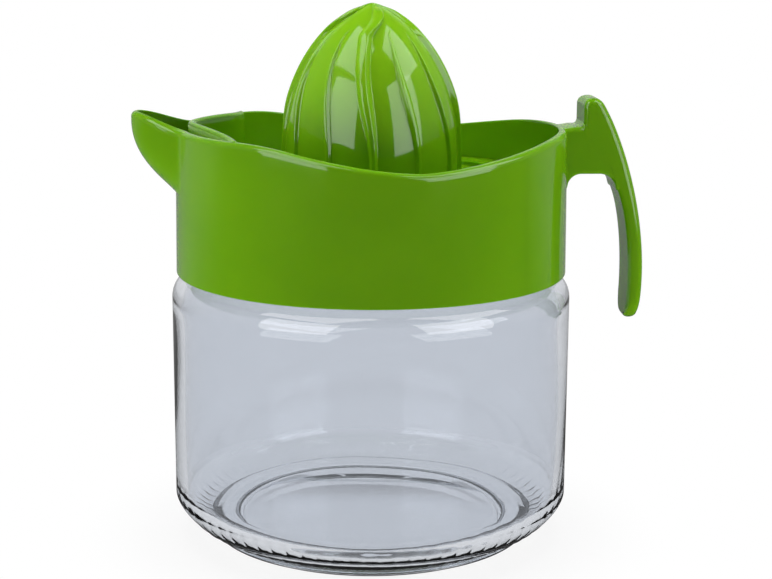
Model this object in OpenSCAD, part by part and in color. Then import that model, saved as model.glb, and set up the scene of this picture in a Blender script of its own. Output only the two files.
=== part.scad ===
// Citrus press juicer: a glass jar with a screw-on plastic press top.
// The origin is the centre of the jar's bearing ring. The handle points along +X
// and the pouring spout along -X. All sizes are in millimetres.

/* [Glass jar] */
// Outer radius of the jar's body
jar_r = 55; // [50:0.1:60]
// Height at which the body starts to curve in to the shoulder
jar_body_h = 67.3; // [60:0.1:75]
// Radius of the shoulder's curve
jar_shoulder_r = 6.5; // [5.5:0.1:6.6]
// Width of the heel's curve, from the body in towards the bearing ring
jar_heel_w = 13.4; // [12:0.2:14]
// Height of the heel's curve
jar_heel_h = 10; // [8:0.5:12]
// Fullness of the heel's curve; 2 is a quarter of an ellipse
jar_heel_full = 1.5; // [1.3:0.05:2]
// Thickness of the glass wall of the body
jar_wall = 3.2; // [2.5:0.1:4]
// Thickness of the glass at the middle of the base
jar_base_t = 6; // [4:0.5:9]
// Radius of the curve between the wall and the floor inside
jar_floor_r = 7; // [5:0.5:9]
// Gap between the neck and the press top's bore, which the threads fill
neck_gap = 3.5; // [3.4:0.1:4]
// Thickness of the glass at the neck
neck_wall = 3; // [2.5:0.1:3.5]
// Height of the jar's lip above the collar's lower edge
neck_h = 14.9; // [14:0.1:16]
// Distance from the jar's body in to the outer edge of the bearing ring that it stands on
ring_inset = 13.2; // [13:0.1:15]
// Width of the bearing ring
ring_w = 3.6; // [3:0.1:6]
// Height of the bearing ring's sloping side
ring_h = 1.7; // [1:0.1:2]
// How far that side slopes out
ring_slope = 3.4; // [2.5:0.1:3.6]
// Rise of the hollow under the base
punt_h = 2.4; // [1.2:0.1:3]

/* [Screw thread] */
// Rise of the thread in one turn
thread_pitch = 6; // [5.6:0.1:6.4]
// Height of the middle of the jar's thread, where it starts, above the collar's lower edge
thread_up = 4.1; // [3.9:0.1:4.5]
// How far the thread on the glass stands out of the neck
thread_glass_depth = 2.1; // [1.9:0.1:2.3]
// How far the thread in the press top stands in from its bore
thread_top_depth = 2.2; // [2:0.1:2.4]
// Width of both threads at the root
thread_root_w = 2.6; // [2.2:0.1:2.8]
// Width of both threads at the crest
thread_crest_w = 1.2; // [0.8:0.1:1.4]
// Height between the middles of the two threads when the top is screwed down
thread_apart = 1.85; // [1.75:0.05:2.1]
// Angle over which each thread fades out at both ends
thread_fade = 24; // [15:1:40]

/* [Sealing ring] */
// Thickness of the sealing ring
seal_t = 1.5; // [1.2:0.1:1.8]
// Gap between the sealing ring and the bore round it
seal_side_gap = 0.6; // [0.3:0.1:1]

/* [Press top] */
// How much narrower the collar is, at its lower edge, than the jar's body
collar_step = 1.3; // [0.5:0.1:2.5]
// How much narrower the collar is at the rim than at its lower edge
collar_draft = 0.5; // [0:0.1:0.6]
// Thickness of the collar's wall
collar_wall = 2.8; // [2.4:0.1:3]
// Gap between the jar's shoulder and the collar's lower edge
collar_gap = 0.3; // [0.2:0.1:0.8]
// Height of the collar, from its lower edge to the high parts of its rim
collar_h = 39.7; // [37:0.1:43]
// Depth of the dip in the rim
rim_dip = 6.2; // [3:0.1:8]
// Distance of the dip's lowest point from the axis, towards the handle
rim_dip_x = 10; // [5:0.5:15]
// Distance from the dip's lowest point to where the rim is high again
rim_dip_w = 39.5; // [36:0.5:42]
// Thickness of the ledge that presses the sealing ring down
seal_ledge_t = 2; // [1.6:0.1:2.4]
// Width of the shelf that the strainer rests on
shelf_w = 2.6; // [2:0.1:3.5]
// Thickness of that shelf
shelf_t = 1.6; // [1.2:0.1:2]
// Thickness of the ledge along the bowl wall, level with the shelf
wall_ledge_t = 1.3; // [1:0.1:1.6]
// Width of that ledge
wall_ledge_w = 1.6; // [1.2:0.1:2]

/* [Spout and duct] */
// How far the spout's tip stands out of the collar
spout_reach = 12; // [9:0.5:14]
// Half of the spout's width where it leaves the collar
spout_half_w = 14.5; // [12:0.5:16]
// Rise of the rim from the collar to the spout's tip
spout_rise = 4.5; // [3:0.5:6]
// Depth of the spout below the height at which it is longest
spout_drop = 19.3; // [16:0.1:20]
// Height above the high rim at which the spout is longest
spout_full_up = 2.2; // [1.5:0.1:2.7]
// Thickness of the spout's wall
spout_wall = 2.2; // [1.8:0.1:2.6]
// Distance from the bore in to the bowl wall's point, by the spout
duct_inset = 2; // [1.9:0.1:3.4]
// Slope of the bowl wall's two sides, in millimetres per millimetre
duct_slope = 0.435; // [0.38:0.005:0.46]
// Thickness of the bowl wall between the bowl and the pouring duct
duct_wall = 2; // [1.6:0.1:2.4]
// Height of the point of the bowl wall above the high rim
duct_wall_rise = 1.5; // [0.5:0.1:2]
// Height of the window under the bowl wall, through which the juice pours
duct_window_h = 4.2; // [3.5:0.1:4.4]

/* [Handle] */
// Width of the handle
handle_w = 14; // [10:0.5:20]
// Thickness of the handle's arm
handle_t = 4.4; // [3.6:0.1:5]
// Height of the thumb rest's top above the high rim
thumb_rise = 8; // [6:0.1:10]
// Distance from the collar to the thumb rest's face towards the bowl
thumb_out = 3.7; // [3.3:0.1:5.3]
// Length of the handle, from the thumb rest's top to the arm's free end
handle_len = 61.9; // [55:0.1:68]
// Largest distance from the collar to the arm's outer face
handle_out = 21.4; // [20:0.1:26]
// Thickness of the bridge between the collar and the arm
bridge_t = 12.8; // [10:0.1:15]

/* [Strainer] */
// Gap between the strainer and the wall round it
strainer_gap = 0.4; // [0.3:0.05:0.6]
// Thickness of the strainer
strainer_t = 2; // [1.6:0.1:2.4]
// Width of the strainer's rim, inside which it is stepped down
strainer_rim_w = 8.5; // [6:0.5:11]
// Depth of that step
strainer_step_h = 1.2; // [0.8:0.1:1.4]
// Number of draining slots
slot_count = 32; // [16:1:36]
// Width of a draining slot
slot_w = 2.2; // [1.4:0.1:2.6]
// Length of a draining slot, as a share of the floor between the cone and the rim
slot_share = 0.7; // [0.35:0.05:0.75]
// Height of the ring that centres the cone
spigot_h = 6; // [4:0.5:8]
// Thickness of the ring that centres the cone
spigot_wall = 1.8; // [1.4:0.1:2.4]

/* [Reamer cone] */
// Radius of the cone over its ribs at the foot
cone_r = 25; // [23:0.1:26]
// Height of the cone's tip above its foot
cone_h = 48.2; // [42:0.2:54]
// Fullness of the cone's outline; a larger value keeps it wide higher up
cone_full = 2.62; // [2.2:0.02:3]
// Number of ribs
rib_count = 12; // [8:4:16]
// Depth of the hollows between the ribs at the foot
rib_depth = 1.9; // [1:0.1:2.4]
// Half of the width of a rib's rounded crest
rib_half_w = 1.5; // [1:0.1:2]
// Sideways lean of the ribs two thirds of the way up, in degrees
rib_lean = 8; // [0:0.5:12]
// Thickness of the cone's wall behind the hollows
cone_wall = 1.8; // [1.4:0.1:2.2]
// Gap between the cone and the ring that centres it
cone_gap = 0.3; // [0.25:0.05:0.5]
// Width of the keys that stop the cone from turning
key_w = 3; // [2:0.1:4]

/* [Hidden] */
$fn = 96;
// A cut that runs past a face does so by this much.
past = 1;
// Parts of one piece run into each other by this much.
sink = 0.6;
arc_steps = 8;

collar_r = jar_r - collar_step;
bore_r = collar_r - collar_wall;
neck_r = bore_r - neck_gap;
mouth_r = neck_r - neck_wall;
ring_r = jar_r - ring_inset;

// Heights, from the jar's shoulder up.
collar_bottom_h = jar_body_h + jar_shoulder_r + collar_gap;
thread_start_h = collar_bottom_h + thread_up;
lip_h = collar_bottom_h + neck_h;
seal_top_h = lip_h + seal_t;
ledge_top_h = seal_top_h + seal_ledge_t;
duct_wall_foot_h = ledge_top_h + duct_window_h;
shelf_top_h = duct_wall_foot_h + wall_ledge_t;
strainer_top_h = shelf_top_h + strainer_t;
strainer_floor_h = strainer_top_h - strainer_step_h;
rim_high = collar_bottom_h + collar_h;
rim_low = rim_high - rim_dip;
spout_full_h = rim_high + spout_full_up;

// The handle, outwards and downwards from the collar's rim.
thumb_h = rim_high + thumb_rise;
thumb_x = collar_r + thumb_out;
handle_end_h = thumb_h - handle_len;
handle_reach = collar_r + handle_out;
bridge_top_h = rim_high + 0.2;
bridge_under_h = bridge_top_h - bridge_t;

// Radius of the thumb rest's rounded edges.
thumb_round = 2.2;

duct_apex = bore_r - duct_inset;
// Distance over which the bowl wall's point is rounded.
duct_round = 2.45;
strainer_r = bore_r - strainer_gap;
strainer_step_r = strainer_r - strainer_rim_w;
slot_len = slot_share * (strainer_step_r - cone_r);
// The cone's hollow narrows upwards, so the ring fits it a little above its own top.
spigot_r = cone_hollow_r(1.25 * spigot_h / cone_h) - cone_gap;
shelf_inner_r = bore_r - shelf_w;
// A level above every part of the press top, where upward cuts end.
above_all_h = thumb_h + 10;
// The level that the collar is drawn up to before the rim is cut, and its radius there.
collar_top_h = above_all_h - 2 * past;
collar_top_r = collar_r
    - collar_draft * (collar_top_h - collar_bottom_h) / (rim_high - collar_bottom_h);

// ---- Curves --------------------------------------------------------------

// Points of an arc round a centre, from one angle to another.
function arc(cx, cy, r, a0, a1, n = arc_steps) =
    [for (i = [0 : n]) let (a = a0 + (a1 - a0) * i / n) [cx + r * cos(a), cy + r * sin(a)]];

// A point of a cubic curve with four control points.
function bezier(p, t) = pow(1 - t, 3) * p[0] + 3 * t * pow(1 - t, 2) * p[1]
    + 3 * t * t * (1 - t) * p[2] + pow(t, 3) * p[3];

function bezier_points(p, n) = [for (i = [0 : n]) bezier(p, i / n)];

// The smaller of two numbers, rounded over where they meet.
function soft_min(a, b, k) = min(a, b) - pow(max(k - abs(a - b), 0), 2) / (4 * k);

function smooth_step(t) = let (s = min(max(t, 0), 1)) s * s * (3 - 2 * s);

// Height of the rim at a distance x from the axis: high by the handle and the
// spout, one long dip between them, and a rise along the spout.
function rim_z(x) = rim_low
    + (rim_high - rim_low) * soft_min(pow(abs(x - rim_dip_x) / rim_dip_w, 1.5), 1, 0.25)
    + spout_rise * smooth_step((1.5 * collar_wall - collar_r - x) / (1.42 * spout_reach));

// How far the spout's outer or inner surface stands out of the collar at a height.
function spout_out(z, reach) =
    z > spout_full_h ? reach
        : reach * max(0, 1 - pow((spout_full_h - z) / spout_drop, 2.2));

// Middle line of the bowl wall: x at a distance y from the middle plane. Its two
// sides meet in a rounded point, and turn back a little at their ends.
function duct_x(y) = -duct_apex
    + duct_slope * (sqrt(y * y + duct_round * duct_round) - duct_round)
    - pow(max(abs(y) - bore_r / 2, 0), 2) / (1.6 * bore_r);

// Radius over the ribs at a share t of the cone's height.
function cone_profile(t) = cone_r * pow(1 - pow(t, cone_full), 1 / 1.5);

// Radius of the hollow inside the cone at a share t of its height.
function cone_hollow_r(t) = cone_profile(t) - rib_depth - cone_wall;

// ---- Shared shapes -------------------------------------------------------

// A solid ring with a rectangular section.
module ring(outer, inner, z0, z1) {
    difference() {
        translate([0, 0, z0]) cylinder(r = outer, h = z1 - z0);
        translate([0, 0, z0 - past]) cylinder(r = inner, h = z1 - z0 + 2 * past);
    }
}

// One turn of a thread ridge that fades out at both ends. side is 1 for a ridge
// that stands out of the root radius, and -1 for one that stands in from it.
module thread_ridge(root_r, depth, side, z0, turn = 360) {
    steps = 72;
    function fade(a) = min(1, a / thread_fade, (turn - a) / thread_fade);
    function station(a) = let (
        z = z0 + thread_pitch * a / 360,
        tall = side * (depth + 0.3) * fade(a) - side * 0.3,
        rings = [
            [root_r - side * sink, -thread_root_w / 2],
            [root_r + tall, -thread_crest_w / 2],
            [root_r + tall, thread_crest_w / 2],
            [root_r - side * sink, thread_root_w / 2]])
        [for (p = rings) [p[0] * cos(a), p[0] * sin(a), z + p[1]]];
    points = [for (i = [0 : steps]) each station(turn * i / steps)];
    walls = [for (i = [0 : steps - 1], k = [0 : 3])
        let (a = 4 * i + k, b = 4 * i + (k + 1) % 4) [a, a + 4, b + 4, b]];
    turned = [for (f = concat([[0, 1, 2, 3]], walls, [[3, 2, 1, 0] + 4 * steps * [1, 1, 1, 1]]))
        side < 0 ? f : [for (k = [len(f) - 1 : -1 : 0]) f[k]]];
    polyhedron(points, turned);
}

// ---- Glass jar -----------------------------------------------------------

// Points of the heel's outline, between two angles of its rounded curve.
function heel_points(a0, a1) = [for (i = [0 : arc_steps]) let (
    a = a0 + (a1 - a0) * i / arc_steps, e = 2 / jar_heel_full)
    [jar_r - jar_heel_w * (1 - pow(sin(a), e)), ring_h + jar_heel_h * (1 - pow(cos(a), e))]];

module jar_profile() {
    inner_r = jar_r - jar_wall;
    inner_shoulder_r = jar_shoulder_r - 1;
    floor_h = punt_h + jar_base_t;
    lip_round = neck_wall / 2.6;
    polygon(concat(
        [[0, punt_h], [ring_r - ring_w - 4, punt_h - 0.6], [ring_r - ring_w, 0], [ring_r, 0]],
        [[ring_r + ring_slope, ring_h]],
        heel_points(22, 90),
        arc(jar_r - jar_shoulder_r, jar_body_h, jar_shoulder_r, 0, 90),
        [[neck_r, jar_body_h + jar_shoulder_r + 0.4]],
        arc(neck_r - lip_round, lip_h - lip_round, lip_round, 0, 90, 4),
        arc(mouth_r + lip_round, lip_h - lip_round, lip_round, 90, 180, 4),
        [[mouth_r, jar_body_h + jar_shoulder_r - 1]],
        arc(inner_r - inner_shoulder_r, jar_body_h - 2, inner_shoulder_r, 60, 0, 5),
        arc(inner_r - jar_floor_r, floor_h + jar_floor_r, jar_floor_r, 0, -90),
        [[0, floor_h - 0.8]]));
}

module glass_jar() {
    color([0.8, 0.86, 0.88, 0.4]) {
        rotate_extrude() jar_profile();
        thread_ridge(neck_r, thread_glass_depth, 1, thread_start_h);
    }
}

// ---- Sealing ring --------------------------------------------------------

module sealing_ring() {
    color("whitesmoke")
        ring(bore_r - seal_side_gap, mouth_r, lip_h, seal_top_h);
}

// ---- Press top: collar, spout, duct and handle in one moulding -----------

// The space above the rim, as one cut along Y.
module above_rim() {
    span = handle_reach + 20;
    steps = 72;
    rotate([90, 0, 0])
        linear_extrude(height = 2 * span, center = true)
            polygon(concat(
                [[span, above_all_h], [-span, above_all_h]],
                [for (i = [0 : steps]) let (x = -collar_r - spout_reach - 2
                    + (2 * collar_r + spout_reach + 4) * i / steps) [x, rim_z(x)]],
                [[span, rim_high]]));
}

// A solid from inside the collar to the spout's surface. round_r is the circle
// that the surface starts from, and half_w is half of its width on that circle.
module spout_body(round_r, reach, half_w, z_low, z_high) {
    across = 20;
    // Levels over the curved part, and one more where the straight part ends.
    levels = concat([for (j = [0 : 14]) z_low + (spout_full_h - z_low) * j / 14], [z_high]);
    up = len(levels) - 1;
    back_x = -round_r + 12;
    function surface_x(y, z) =
        -sqrt(round_r * round_r - y * y) - spout_out(z, reach) * cos(90 * y / half_w);
    function y_at(i) = half_w * 1.12 * (2 * i / across - 1);
    front = [for (j = [0 : up], i = [0 : across])
        let (y = y_at(i), z = levels[j]) [surface_x(y, z), y, z]];
    back = [for (z = [z_low, z_high], y = [y_at(0), y_at(across)]) [back_x, y, z]];
    row = across + 1;
    b = row * (up + 1);
    skin = [for (j = [0 : up - 1], i = [0 : across - 1]) let (a = j * row + i)
        each [[a, a + 1, a + row], [a + 1, a + row + 1, a + row]]];
    bottom = [concat([for (i = [across : -1 : 0]) i], [b, b + 1])];
    top = [concat([for (i = [0 : across]) up * row + i], [b + 3, b + 2])];
    near = [concat([for (j = [0 : up]) j * row], [b + 2, b])];
    far = [concat([for (j = [up : -1 : 0]) j * row + across], [b + 1, b + 3])];
    rear = [[b, b + 2, b + 3, b + 1]];
    polyhedron(concat(front, back), concat(skin, bottom, top, near, far, rear));
}

// Plan of the bowl's side of a line parallel to the bowl wall's middle line.
module bowl_side_plan(shift) {
    reach = collar_r + 10;
    steps = 32;
    polygon(concat(
        [for (i = [0 : steps]) let (y = -reach + 2 * reach * i / steps)
            [duct_x(min(max(y, -0.82 * bore_r), 0.82 * bore_r)) + shift, y]],
        [[reach, reach], [reach, -reach]]));
}

// The wall that parts the bowl from the pouring duct.
module bowl_wall() {
    function top_z(x) = rim_high + duct_wall_rise - pow(x + duct_apex, 2) / (2.7 * bore_r);
    steps = 8;
    back_x = -0.4 * bore_r;
    bend_x = -0.55 * bore_r;
    shift = duct_wall / 2 * sqrt(1 + duct_slope * duct_slope);
    intersection() {
        translate([0, 0, duct_wall_foot_h])
            linear_extrude(height = above_all_h - duct_wall_foot_h)
                intersection() {
                    circle(r = bore_r + sink);
                    difference() {
                        bowl_side_plan(-shift);
                        bowl_side_plan(shift);
                    }
                }
        rotate([90, 0, 0])
            linear_extrude(height = 2 * collar_r, center = true)
                polygon(concat(
                    [[back_x, duct_wall_foot_h - past], [back_x, top_z(back_x)]],
                    [for (i = [0 : steps]) let (x = bend_x - (bore_r + bend_x) * i / steps)
                        [x, top_z(x)]],
                    [[-collar_r, top_z(-bore_r)], [-collar_r, duct_wall_foot_h - past]]));
    }
}

// The shelf that the strainer rests on, which stops at the bowl wall.
module strainer_shelf() {
    translate([0, 0, shelf_top_h - shelf_t])
        linear_extrude(height = shelf_t)
            intersection() {
                difference() {
                    circle(r = bore_r + sink);
                    circle(r = shelf_inner_r);
                }
                bowl_side_plan(0);
            }
    translate([0, 0, duct_wall_foot_h])
        linear_extrude(height = shelf_top_h - duct_wall_foot_h)
            intersection() {
                circle(r = bore_r + sink);
                difference() {
                    bowl_side_plan(0);
                    bowl_side_plan(duct_wall / 2 + wall_ledge_w);
                }
            }
}

// Side outline of the handle: the bridge with its arched underside, the thumb
// rest, and the bowed arm down to its round free end.
module handle_side() {
    under = bridge_under_h;
    end_h = handle_end_h;
    inner_x = handle_reach - handle_t;
    end_r = 0.43 * handle_t;
    fillet = 1;
    // Radii of the arch under the bridge, by the collar and by the arm.
    collar_arch = 4;
    arm_arch = 4.5;
    outer = [[thumb_x + 2.9, thumb_h + 0.1], [thumb_x + 8.8, thumb_h - 7],
        [handle_reach + 3.1, end_h + 27.6], [handle_reach - 0.8, end_h + end_r]];
    inner = [[inner_x - 4, under - 3.4], [inner_x - 0.3, under - 10.2],
        [inner_x + 0.9, end_h + 14.6], [inner_x - 0.2, end_h + end_r + 0.6]];
    polygon(concat(
        [[bore_r + sink, under - collar_arch - 0.2], [bore_r + sink, bridge_top_h]],
        arc(thumb_x - fillet, bridge_top_h + fillet, fillet, -90, 0, 3),
        arc(thumb_x + thumb_round, thumb_h - thumb_round, thumb_round, 180, 70, 6),
        [for (i = [1 : 20]) bezier(outer, i / 20)],
        arc(handle_reach - 0.8 - end_r, end_h + end_r, end_r, -10, -165, 8),
        [for (i = [20 : -1 : 0]) bezier(inner, i / 20)],
        arc(inner_x - 4 - arm_arch, under - arm_arch, arm_arch, 20, 90),
        arc(collar_r - sink + collar_arch, under - collar_arch, collar_arch, 90, 180)));
}

// Front outline of the handle: rounded edges on the thumb rest, and a round free
// end. Its middle rises past the top, which the side outline ends.
module handle_front() {
    tip_r = handle_w / 2;
    edge_x = tip_r - thumb_round;
    edge_h = thumb_h - thumb_round;
    translate([0, handle_end_h + tip_r]) circle(r = tip_r);
    polygon(concat(
        [[-tip_r, handle_end_h + tip_r], [tip_r, handle_end_h + tip_r]],
        arc(edge_x, edge_h, thumb_round, 0, 72, 5),
        [[0, thumb_h + past]],
        arc(-edge_x, edge_h, thumb_round, 108, 180, 5)));
}

module handle() {
    intersection() {
        rotate([90, 0, 0])
            linear_extrude(height = handle_w, center = true) handle_side();
        translate([bore_r, 0, 0]) rotate([90, 0, 90])
            linear_extrude(height = handle_reach) handle_front();
    }
}

module pouring_collar() {
    color([0.45, 0.66, 0.13]) {
        difference() {
            union() {
                difference() {
                    union() {
                        translate([0, 0, collar_bottom_h])
                            cylinder(r1 = collar_r, r2 = collar_top_r,
                                h = collar_top_h - collar_bottom_h);
                        // It starts from the rim's radius, so that its sides stay in the wall.
                        spout_body(collar_r - collar_draft, spout_reach + collar_draft, spout_half_w,
                            spout_full_h - spout_drop - 1.5, above_all_h - 3 * past);
                    }
                    above_rim();
                }
                handle();
            }
            translate([0, 0, ledge_top_h]) cylinder(r = bore_r, h = above_all_h);
            translate([0, 0, collar_bottom_h - past])
                cylinder(r = bore_r, h = seal_top_h - collar_bottom_h + past);
            translate([0, 0, seal_top_h - past]) cylinder(r = mouth_r, h = seal_ledge_t + 2 * past);
            spout_body(bore_r, spout_reach + collar_wall - spout_wall, spout_half_w - spout_wall,
                spout_full_h - spout_drop + spout_wall, above_all_h);
        }
        bowl_wall();
        strainer_shelf();
        thread_ridge(bore_r, thread_top_depth, -1, thread_start_h - thread_apart);
    }
}

// ---- Strainer ------------------------------------------------------------

module strainer_insert() {
    clear = duct_wall / 2 * sqrt(1 + duct_slope * duct_slope) + strainer_gap;
    slot_mid_r = (cone_r + strainer_step_r) / 2 + 0.5;
    floor_low = strainer_floor_h - strainer_t;
    color([0.45, 0.66, 0.13])
        difference() {
            union() {
                translate([0, 0, shelf_top_h])
                    linear_extrude(height = strainer_t)
                        intersection() {
                            circle(r = strainer_r);
                            bowl_side_plan(clear);
                        }
                translate([0, 0, floor_low])
                    linear_extrude(height = strainer_t + strainer_step_h / 2)
                        intersection() {
                            circle(r = strainer_step_r + strainer_t);
                            bowl_side_plan(duct_wall / 2 + wall_ledge_w + strainer_gap);
                        }
                translate([0, 0, floor_low]) cylinder(r = spigot_r, h = strainer_t + spigot_h);
            }
            translate([0, 0, strainer_floor_h])
                difference() {
                    cylinder(r = strainer_step_r, h = strainer_step_h + past);
                    translate([0, 0, -past]) cylinder(r = spigot_r, h = strainer_t + spigot_h);
                }
            translate([0, 0, strainer_floor_h]) cylinder(r = spigot_r - spigot_wall, h = spigot_h + past);
            for (i = [0 : slot_count - 1])
                rotate(360 / slot_count * (i + 0.5)) translate([slot_mid_r, 0, floor_low - past])
                    linear_extrude(height = strainer_t + 2 * past) {
                        square([slot_len - slot_w, slot_w], center = true);
                        for (end = [-1, 1])
                            translate([end * (slot_len - slot_w) / 2, 0]) circle(d = slot_w);
                    }
            for (i = [0 : 2])
                rotate(120 * i)
                    translate([spigot_r - spigot_wall - past, -key_w / 2 - cone_gap, strainer_floor_h])
                    cube([spigot_wall + 2 * past, key_w + 2 * cone_gap, spigot_h + past]);
        }
}

// ---- Reamer cone ---------------------------------------------------------

// Sideways lean of the ribs, in degrees: a slow sweep one way, then a quick
// curl back at the tip.
function cone_lean(t) = -rib_lean * smooth_step(t / 0.75) + 1.9 * rib_lean * smooth_step((t - 0.82) / 0.14);

// Height of a rib's crest over the hollow, by the distance from the crest.
function rib_crest(d) = exp(-pow(d / rib_half_w, 2));

// Radius of the ribbed surface. Every third rib runs to the tip, and the ribs
// between them fade out below it.
function cone_surface(a, t) = let (
    pitch = 360 / rib_count,
    n = round(a / pitch),
    off = abs(a - n * pitch),
    r = cone_profile(t),
    main = n % 3 == 0 ? 1 : 1 - smooth_step((t - 0.7) / 0.16),
    depth = rib_depth * min(1, 0.25 + r / cone_r) * (1 - pow(t, 8)))
    r - depth * (1 - main * rib_crest(off * PI / 180 * max(r, 4)));

module cone_body() {
    around = rib_count * 10;
    up = 24;
    // Levels are closer together near the tip.
    function t_at(j) = 1 - pow(1 - j / up, 1.7);
    points = concat(
        [for (j = [0 : up - 1], i = [0 : around - 1]) let (
            t = t_at(j), a = 360 * i / around, r = cone_surface(a, t), turned = a - 90 + cone_lean(t))
            [r * cos(turned), r * sin(turned), cone_h * t]],
        [[0, 0, cone_h]]);
    tip = len(points) - 1;
    skin = [for (j = [0 : up - 2], i = [0 : around - 1]) let (
        a = j * around + i, b = j * around + (i + 1) % around)
        each [[a, a + around, b], [b, a + around, b + around]]];
    cap = [for (i = [0 : around - 1]) [(up - 1) * around + i, tip, (up - 1) * around + (i + 1) % around]];
    foot = [[for (i = [0 : around - 1]) i]];
    polyhedron(points, concat(skin, cap, foot));
}

// The hollow inside the cone, which follows its outer shape.
module cone_hollow() {
    steps = 10;
    top = 0.86;
    rotate_extrude()
        polygon(concat([[0, -past], [cone_hollow_r(0), -past]],
            [for (i = [0 : steps]) let (t = top * i / steps)
                [cone_hollow_r(t), cone_h * t - cone_wall * t]],
            [[0, cone_h * top - cone_wall * top]]));
}

module reamer_cone() {
    color([0.45, 0.66, 0.13])
        translate([0, 0, strainer_floor_h]) {
            difference() {
                cone_body();
                cone_hollow();
            }
            for (i = [0 : 2])
                rotate(120 * i) translate([spigot_r - spigot_wall + cone_gap, -key_w / 2, cone_gap])
                    cube([spigot_wall + sink, key_w, spigot_h - past]);
        }
}

glass_jar();
sealing_ring();
pouring_collar();
strainer_insert();
reamer_cone();
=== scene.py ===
"""A hand citrus press: a glass jar, a screw-on press top with a pouring spout and a handle,
a strainer, a ribbed reamer cone and a sealing ring.

Sizes in the classes are in millimetres, in the row frame: +Z up, the handle towards +X and
the spout towards -X. Meshes are written in metres.
"""

import logging
import math
from abc import ABC, abstractmethod
from dataclasses import dataclass, field
from enum import Enum

import bpy
import numpy as np
from mathutils import Matrix, Vector

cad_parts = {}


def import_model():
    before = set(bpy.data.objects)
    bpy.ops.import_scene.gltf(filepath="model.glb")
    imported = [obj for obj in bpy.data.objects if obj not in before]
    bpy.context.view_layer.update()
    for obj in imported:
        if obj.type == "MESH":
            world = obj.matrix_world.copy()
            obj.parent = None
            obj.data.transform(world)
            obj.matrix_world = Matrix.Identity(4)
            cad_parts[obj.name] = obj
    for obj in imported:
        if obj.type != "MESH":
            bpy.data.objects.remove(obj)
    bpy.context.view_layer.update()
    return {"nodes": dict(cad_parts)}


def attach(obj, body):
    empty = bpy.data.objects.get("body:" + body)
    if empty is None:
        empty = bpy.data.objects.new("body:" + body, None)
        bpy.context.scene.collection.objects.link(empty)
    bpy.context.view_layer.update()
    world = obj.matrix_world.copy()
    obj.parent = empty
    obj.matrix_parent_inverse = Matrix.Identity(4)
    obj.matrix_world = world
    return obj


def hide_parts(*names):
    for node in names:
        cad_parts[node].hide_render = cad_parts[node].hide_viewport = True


MM = 0.001
LOG = logging.getLogger("citrus_press")

Array = np.ndarray
Pair = tuple[Array, Array]
Piece = bpy.types.Object
Material = bpy.types.Material
Tree = bpy.types.NodeTree
Node = bpy.types.Node
Socket = bpy.types.NodeSocket
Triple = tuple[float, float, float]
Span = tuple[float, float]
Curve = tuple[Span, ...]


# ---- Curves and grids ------------------------------------------------------------


def smooth_step(t: Array | float) -> Array:
    """0 below 0, 1 above 1, and 3t^2 - 2t^3 between."""
    s = np.clip(t, 0.0, 1.0)
    return s * s * (3.0 - 2.0 * s)


def soft_min(a: Array | float, b: float, k: float) -> Array | float:
    """The smaller of a and b, rounded by a parabola where they are within k of each other."""
    return np.minimum(a, b) - np.maximum(k - np.abs(a - b), 0.0) ** 2 / (4.0 * k)


def soft_positive(w: Array, width: float) -> Array:
    """A rounded positive part of w: (w + sqrt(w^2 + width^2)) / 2, less its value at w = -1."""
    rest = (-1.0 + math.sqrt(1.0 + width * width)) / 2.0
    return (w + np.sqrt(w * w + width * width)) / 2.0 - rest


def quarter(d: Array, r: float) -> Array:
    """How far a quarter circle of radius r has turned away at depth d into it: r - sqrt(r^2 - d^2)."""
    return r * (1.0 - np.sqrt(1.0 - np.clip(d / r, 0.0, 1.0) ** 2))


def bezier(points: Curve, count: int) -> Array:
    """A cubic curve through four control points.

    Args:
        points: The four control points.
        count: How many points to return.

    Returns:
        An array of count points.
    """
    p = np.asarray(points, float)
    t = np.linspace(0.0, 1.0, count)[:, None]
    s = 1.0 - t
    return s**3 * p[0] + 3 * t * s**2 * p[1] + 3 * t**2 * s * p[2] + t**3 * p[3]


def corner(cx: float, cy: float, r: float, start: float, end: float, count: int = 7) -> Array:
    """Points of an arc of radius r round (cx, cy), from angle start to end, in degrees."""
    a = np.radians(np.linspace(start, end, count))
    return np.stack([cx + r * np.cos(a), cy + r * np.sin(a)], axis=1)


def straight(start: Span, end: Span, count: int) -> Array:
    """Points at equal steps on the line from start to end."""
    return np.linspace(start, end, count)


def stack_xyz(x: Array, y: Array, z: Array) -> Array:
    """Joins three arrays, broadcast to one shape, into an array of points."""
    return np.stack(np.broadcast_arrays(x, y, z), axis=-1)


def revolve(r: Array, z: Array, a: Array) -> Array:
    """Points at radius r, height z and angle a round the axis."""
    return stack_xyz(r * np.cos(a), r * np.sin(a), z)


def outwards(points: Array, faces: list[Array]) -> list[Array]:
    """Turns closed faces outwards, by the sign of the volume that they enclose: the sum of the
    cones from the origin to each fan of triangles.

    Args:
        points: Vertices, one per row.
        faces: Blocks of faces; each block is an array with one face per row.

    Returns:
        The blocks, turned over if that volume is negative.
    """
    volume = 0.0
    for block in faces:
        for k in range(1, block.shape[1] - 1):
            a, b, c = points[block[:, 0]], points[block[:, k]], points[block[:, k + 1]]
            volume += float(np.einsum("ij,ij->", a, np.cross(b, c)))
    return [block[:, ::-1] for block in faces] if volume < 0.0 else faces


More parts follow.
